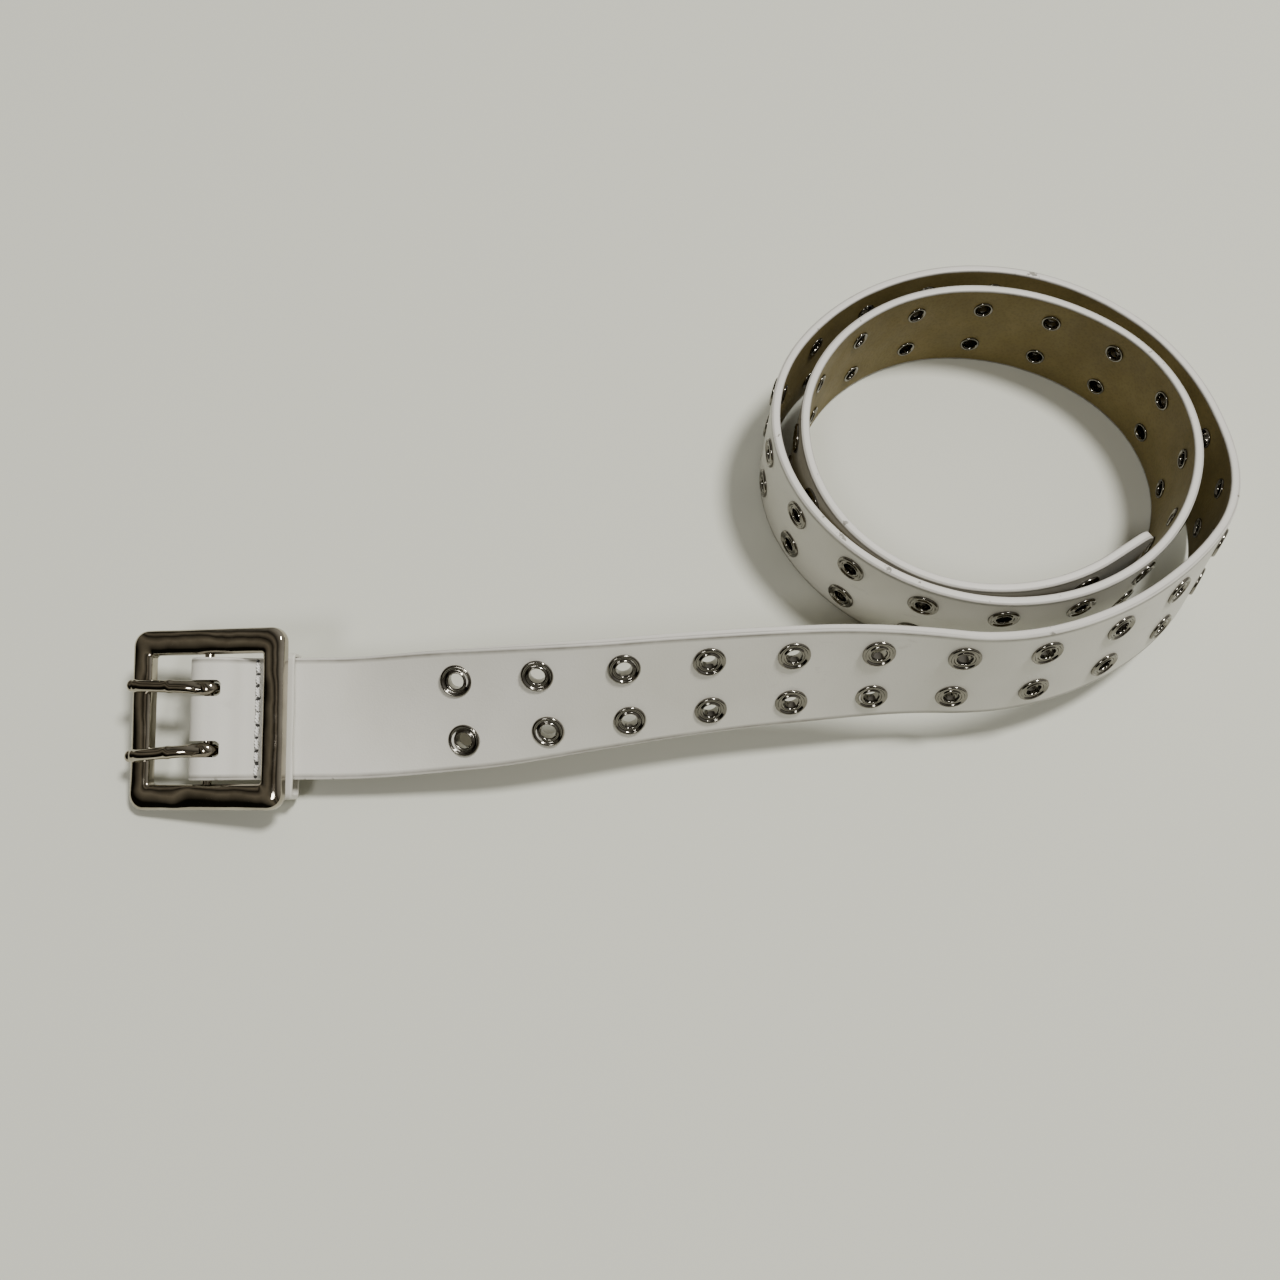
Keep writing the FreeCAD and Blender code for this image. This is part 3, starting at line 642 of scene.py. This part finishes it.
def keeper(material):
    """Closed leather band round the strap, slack past the strap's lower edge."""
    low = TAIL_UNDER - KEEPER_GAP
    high = TOP_FACE + KEEPER_GAP
    front = -WIDTH / 2 - KEEPER_GAP - KEEPER_SLACK
    back = WIDTH / 2 + KEEPER_GAP
    outline = rounded_outline((back - front) / 2, (high - low) / 2, KEEPER_CORNER, KEEPER_STEPS)
    middle_y, middle_z = (back + front) / 2, (high + low) / 2
    half = KEEPER_WIDTH / 2
    # Section of the band: place along the strap and distance out of the inner surface.
    section = [(-half + 0.1, 0.0), (-half, 0.2), (-half, 0.9), (-half + 0.12, 1.12),
               (-half + 0.35, KEEPER_THICK), (0, KEEPER_THICK), (half - 0.35, KEEPER_THICK),
               (half - 0.12, 1.12), (half, 0.9), (half, 0.2), (half - 0.1, 0.0), (0, 0.0)]
    vertices = []
    count = len(outline)
    for i, (y, z) in enumerate(outline):
        (ay, az), (by, bz) = outline[i - 1], outline[(i + 1) % count]
        out = Vector((0, bz - az, ay - by)).normalized()
        sag = KEEPER_SAG * math.sin(SAG_WAVE * y)
        for x, depth in section:
            spot = Vector((KEEPER_START + half + x + sag, y + middle_y, z + middle_z))
            vertices.append(BUCKLE @ (spot + out * depth))
    piece = make_object("keeper_band", vertices, tube_faces(count, len(section)), material,
                        "keeper")
    sharpen(piece, 60)
    return piece


# ---- materials ----

# Colours as linear red, green and blue.
LEATHER_SHADES = (0.615, 0.605, 0.545), (0.68, 0.67, 0.615)
# The fourth colour is the dark line drawn along the edge paint's borders.
SCUFF, EDGE_PAINT, CHIP, EDGE_LINE_DARK = ((0.42, 0.40, 0.37), (0.68, 0.665, 0.62),
                                      (0.16, 0.15, 0.12), (0.13, 0.12, 0.095))
LINING_SHADES = (0.135, 0.103, 0.034), (0.182, 0.140, 0.047), (0.220, 0.172, 0.066)
# The last colour here is the painted shade of needle holes and contact shadows.
THREAD_SHADES, NEEDLE_HOLE_SHADE = ((0.80, 0.79, 0.76), (0.93, 0.925, 0.91)), (0.02, 0.018, 0.015)
NICKEL_SHADES = (0.16, 0.152, 0.132), (0.27, 0.256, 0.225)
GUNMETAL_SHADES = (0.34, 0.31, 0.255), (0.48, 0.445, 0.375)
FLOOR_COLOUR, BACKDROP = (0.668, 0.678, 0.60), (0.80, 0.80, 0.77)


def new_material(name):
    """Material with its Principled shader and node tree."""
    material = bpy.data.materials.new(name)
    material.use_nodes = True
    tree = material.node_tree
    return material, tree, tree.nodes["Principled BSDF"]


def add(tree, kind, **values):
    """Node with inputs and properties set by name."""
    node = tree.nodes.new(kind)
    for key, value in values.items():
        if key in node.inputs.keys():
            node.inputs[key].default_value = value
        else:
            setattr(node, key, value)
    return node


def noise_field(tree, scale, detail=4.0, roughness=0.55, stretch=(1, 1, 1)):
    """Noise in the part's own coordinates."""
    coordinates = add(tree, "ShaderNodeTexCoord")
    mapping = add(tree, "ShaderNodeMapping", Scale=stretch)
    field = add(tree, "ShaderNodeTexNoise", Scale=scale, Detail=detail, Roughness=roughness)
    tree.links.new(coordinates.outputs["Object"], mapping.inputs["Vector"])
    tree.links.new(mapping.outputs["Vector"], field.inputs["Vector"])
    return field.outputs["Fac"]


def cells(tree, scale, stretch=(1, 1, 1)):
    """Distance to the nearest cell centre, for pebbled grain."""
    coordinates = add(tree, "ShaderNodeTexCoord")
    mapping = add(tree, "ShaderNodeMapping", Scale=stretch)
    field = add(tree, "ShaderNodeTexVoronoi", Scale=scale)
    tree.links.new(coordinates.outputs["Object"], mapping.inputs["Vector"])
    tree.links.new(mapping.outputs["Vector"], field.inputs["Vector"])
    return field.outputs["Distance"]


def ramp(tree, value, stops):
    """Colour ramp through (position, colour) stops."""
    node = add(tree, "ShaderNodeValToRGB")
    while len(node.color_ramp.elements) < len(stops):
        node.color_ramp.elements.new(0.5)
    for element, (position, colour) in zip(node.color_ramp.elements, stops):
        element.position = position
        element.color = (*colour, 1.0) if len(colour) == 3 else colour
    tree.links.new(value, node.inputs["Fac"])
    return node.outputs["Color"]


def grey(level):
    """Grey colour."""
    return (level, level, level)


def mix(tree, factor, a, b, mode="MIX"):
    """Mix of two colours; the factor and both colours may be sockets or values."""
    node = add(tree, "ShaderNodeMix", data_type="RGBA", blend_type=mode)
    for socket, value in ((node.inputs[0], factor), (node.inputs[6], a), (node.inputs[7], b)):
        if isinstance(value, bpy.types.NodeSocket):
            tree.links.new(value, socket)
        elif isinstance(value, float):
            socket.default_value = value
        else:
            socket.default_value = (*value, 1.0)
    return node.outputs[2]


def bump(tree, shader, height, strength, distance):
    """Bump on the shader's normal, on top of any bump already there."""
    node = add(tree, "ShaderNodeBump", Strength=strength, Distance=distance)
    tree.links.new(height, node.inputs["Height"])
    if shader.inputs["Normal"].is_linked:
        tree.links.new(shader.inputs["Normal"].links[0].from_socket, node.inputs["Normal"])
    tree.links.new(node.outputs["Normal"], shader.inputs["Normal"])


def dim(tree, colour, level):
    """Colour multiplied by a grey level."""
    return mix(tree, 1.0, colour, grey(level), "MULTIPLY")


def attribute(tree, name):
    """A number stored on the mesh's vertices."""
    return add(tree, "ShaderNodeAttribute", attribute_name=name).outputs["Fac"]


def scuffed(tree, colour):
    """Colour with faint grey scuffs inside worn patches."""
    scuffs = ramp(tree, noise_field(tree, 95, 6.0, 0.7, (1, 1, 2.2)),
                  [(0.62, grey(0.0)), (0.70, grey(1.0))])
    patches = ramp(tree, noise_field(tree, 14, 2.0), [(0.5, grey(0.0)), (0.62, grey(1.0))])
    worn = mix(tree, 1.0, scuffs, patches, "MULTIPLY")
    return mix(tree, dim(tree, worn, 0.30), colour, SCUFF)


def painted_edge(tree, colour):
    """Colour with the painted edge over it: chips in the paint and a dark line beside it."""
    edge = attribute(tree, "edge")
    chips = ramp(tree, noise_field(tree, 210, 3.0, 0.6, (1, 1, 0.6)),
                 [(0.665, grey(0.0)), (0.70, grey(1.0))])
    chipped = mix(tree, 1.0, chips, edge, "MULTIPLY")
    colour = mix(tree, dim(tree, chipped, 0.8), mix(tree, edge, colour, EDGE_PAINT), CHIP)
    uneven = ramp(tree, noise_field(tree, 55, 4.0, 0.65),
                  [(0.35, grey(0.62)), (0.65, grey(1.0))])
    line = mix(tree, 1.0, attribute(tree, "seam"), uneven, "MULTIPLY")
    return mix(tree, line, colour, EDGE_LINE_DARK)


def white_leather(name, edge_paint):
    """White coated faux leather: fine grain, faint scuffs and yellowing, and painted edges if
    asked.
    """
    material, tree, shader = new_material(name)
    dark, light = LEATHER_SHADES
    colour = scuffed(tree, ramp(tree, noise_field(tree, 28, 3.0), [(0.3, dark), (0.7, light)]))
    if edge_paint:
        colour = painted_edge(tree, colour)
    tree.links.new(colour, shader.inputs["Base Color"])
    rough = ramp(tree, noise_field(tree, 60, 4.0), [(0.3, grey(0.40)), (0.7, grey(0.56))])
    tree.links.new(rough, shader.inputs["Roughness"])
    shader.inputs["Specular IOR Level"].default_value = 0.45
    shader.inputs["Coat Weight"].default_value = 0.12
    shader.inputs["Coat Roughness"].default_value = 0.35
    bump(tree, shader, cells(tree, 1500), 0.22, 0.00010)
    bump(tree, shader, noise_field(tree, 420, 3.0), 0.20, 0.00018)
    bump(tree, shader, noise_field(tree, 45, 2.0), 0.25, 0.0006)
    return material


def lining_leather():
    """Olive-tan lining: matte, with a pebbled print and darker rubbed patches."""
    material, tree, shader = new_material("olive_lining")
    cloud = noise_field(tree, 40, 4.0, 0.6)
    colour = ramp(tree, cloud, list(zip((0.25, 0.55, 0.8), LINING_SHADES)))
    fine = ramp(tree, cells(tree, 900), [(0.0, grey(0.82)), (0.6, grey(1.0))])
    tree.links.new(mix(tree, 1.0, colour, fine, "MULTIPLY"), shader.inputs["Base Color"])
    rough = ramp(tree, noise_field(tree, 90, 4.0), [(0.3, grey(0.52)), (0.7, grey(0.68))])
    tree.links.new(rough, shader.inputs["Roughness"])
    shader.inputs["Specular IOR Level"].default_value = 0.35
    bump(tree, shader, cells(tree, 900), 0.35, 0.00014)
    bump(tree, shader, noise_field(tree, 60, 2.0), 0.3, 0.0005)
    return material


def polished_metal(name, shades, smooth_end, rough_end):
    """Plated metal: fine scratches, smudges, hand-polished waves and patches in the plating."""
    material, tree, shader = new_material(name)
    shader.inputs["Metallic"].default_value = 1.0
    dark, light = shades
    patches = ramp(tree, noise_field(tree, 120, 4.0, 0.6), [(0.3, dark), (0.7, light)])
    tree.links.new(patches, shader.inputs["Base Color"])
    smudge = noise_field(tree, 260, 5.0, 0.65)
    tree.links.new(ramp(tree, smudge, [(0.35, grey(smooth_end)), (0.75, grey(rough_end))]),
                   shader.inputs["Roughness"])
    bump(tree, shader, noise_field(tree, 900, 2.0, 0.5, (1, 6, 1)), 0.05, 0.00004)
    bump(tree, shader, noise_field(tree, 140, 2.0), 0.12, 0.0002)
    bump(tree, shader, noise_field(tree, 42, 1.5), 0.9, 0.0024)
    return material


def thread_material():
    """White sewing thread, slightly grubby, and the painted shade of its needle holes and its
    painted contact shadows.
    """
    material, tree, shader = new_material("white_thread")
    grubby, clean = THREAD_SHADES
    thread = ramp(tree, noise_field(tree, 300, 3.0), [(0.3, grubby), (0.7, clean)])
    # The dark attribute mixes in painted shade for the needle holes and the contact shadows.
    colour = mix(tree, attribute(tree, "dark"), thread, NEEDLE_HOLE_SHADE)
    tree.links.new(colour, shader.inputs["Base Color"])
    shader.inputs["Roughness"].default_value = 0.7
    shader.inputs["Sheen Weight"].default_value = 0.3
    bump(tree, shader, noise_field(tree, 2600, 2.0), 0.5, 0.0001)
    return material


def floor_material():
    """Plain pale floor."""
    material, _, shader = new_material("plain_floor")
    shader.inputs["Base Color"].default_value = (*FLOOR_COLOUR, 1)
    shader.inputs["Roughness"].default_value = 0.9
    shader.inputs["Specular IOR Level"].default_value = 0.1
    return material


# ---- build ----

WHITE = white_leather("white_leather", True)
KEEPER_WHITE = white_leather("keeper_leather", False)
LINING = lining_leather()
EYELET_METAL = polished_metal("eyelet_nickel", NICKEL_SHADES, 0.08, 0.20)
GUNMETAL = polished_metal("gunmetal", GUNMETAL_SHADES, 0.03, 0.12)
THREAD = thread_material()

STATIONS = fold_stations() + eyelet_stations() + tip_stations()
skin = slab("strap_skin", STATIONS, skin_columns(), WHITE, "strap")
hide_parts("strap_face", "strap_core")
sharpen(skin, 50)
lining = slab("strap_inside", STATIONS, lining_columns(), LINING, "strap")
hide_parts("strap_lining")
sharpen(lining, 50)

for node, side in (("eyelets_upper_row", 1), ("eyelets_lower_row", -1)):
    row = eyelet_row(node + "_lathed", side, EYELET_METAL)
    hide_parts(node)

cast = buckle_frame(GUNMETAL)
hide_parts("buckle_frame")
steel = centre_bar(GUNMETAL)
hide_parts("centre_bar")
for node, side, splay, body in (("prong_upper", 1, 2.5, "prong_a"),
                                ("prong_lower", -1, 4.0, "prong_b")):
    wire = prong(node + "_wire", side, splay, GUNMETAL, body)
    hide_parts(node)

threads = stitching(THREAD)
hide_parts("fold_stitching")
band = keeper(KEEPER_WHITE)
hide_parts("keeper_loop")
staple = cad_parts["keeper_staple"]
staple.data.materials.clear()
staple.data.materials.append(EYELET_METAL)


# ---- floor, light and camera, in metres ----

FLOOR_HALF, FLOOR_DROP = 6.0, 0.0002
ROOM_STRENGTH, PANEL_DIRECTION = 0.75, (0.36, 0.30, 0.20)
# Pale and dark panels of the room, from the left and front to the right and back.
PANELS = [(0.20, (0.010, 0.009, 0.006)), (0.34, (0.30, 0.265, 0.205)),
          (0.43, (0.03, 0.026, 0.019)), (0.50, (0.30, 0.265, 0.21)),
          (0.57, (0.04, 0.036, 0.028)), (0.68, (0.32, 0.30, 0.26)),
          (0.92, (0.60, 0.58, 0.54))]


def floor():
    """Large pale plane under the belt."""
    corners = [Vector((x * FLOOR_HALF, y * FLOOR_HALF, -FLOOR_DROP)) for x, y in
               ((-1, -1), (1, -1), (1, 1), (-1, 1))]
    mesh = bpy.data.meshes.new("floor")
    mesh.from_pydata(corners, [], [(0, 1, 2, 3)])
    mesh.materials.append(floor_material())
    plane = bpy.data.objects.new("floor", mesh)
    bpy.context.scene.collection.objects.link(plane)


def area_light(name, place, size, power, colour):
    """Soft round light aimed at the middle of the belt."""
    data = bpy.data.lights.new(name, "AREA")
    data.shape, data.size, data.energy, data.color = "DISK", size, power, colour
    lamp = bpy.data.objects.new(name, data)
    lamp.location = place
    lamp.rotation_euler = (-Vector(place)).to_track_quat("-Z", "Y").to_euler()
    bpy.context.scene.collection.objects.link(lamp)


def studio():
    """Soft room light: long panels that show in polished metal, and a plain backdrop."""
    world = bpy.data.worlds.new("studio")
    world.use_nodes = True
    tree = world.node_tree
    toward = add(tree, "ShaderNodeVectorMath", operation="DOT_PRODUCT")
    toward.inputs[1].default_value = PANEL_DIRECTION
    tree.links.new(add(tree, "ShaderNodeTexCoord").outputs["Generated"], toward.inputs[0])
    place = add(tree, "ShaderNodeMath", operation="ADD")
    place.inputs[1].default_value = 0.5
    tree.links.new(toward.outputs["Value"], place.inputs[0])
    colour = ramp(tree, place.outputs["Value"], PANELS)
    seen = add(tree, "ShaderNodeLightPath").outputs["Is Camera Ray"]
    background = tree.nodes["Background"]
    tree.links.new(mix(tree, seen, colour, BACKDROP), background.inputs["Color"])
    background.inputs["Strength"].default_value = ROOM_STRENGTH
    bpy.context.scene.world = world


def camera():
    """Camera above the front, looking down on the belt."""
    data = bpy.data.cameras.new("camera")
    data.sensor_width = 36.0
    data.lens = 34.2
    eye = bpy.data.objects.new("camera", data)
    elevation, roll, azimuth = math.radians(64.24), math.radians(2.68), math.radians(-3.24)
    right, front, height = 0.1253, 0.1442, 0.3721
    bar = box_middle("centre_bar") * MM
    turn = (Matrix.Rotation(azimuth, 4, "Z") @ Matrix.Rotation(math.pi / 2 - elevation, 4, "X")
            @ Matrix.Rotation(roll, 4, "Z"))
    eye.matrix_world = Matrix.Translation((bar.x + right, bar.y - front, height)) @ turn
    bpy.context.scene.collection.objects.link(eye)
    bpy.context.scene.camera = eye


floor()
area_light("key", place=(1.08, 0.42, 2.85), size=0.60, power=96.0, colour=(1.0, 0.98, 0.94))
area_light("fill", place=(-1.05, -1.80, 2.85), size=0.78, power=32.0, colour=(1.0, 0.985, 0.95))
studio()
camera()
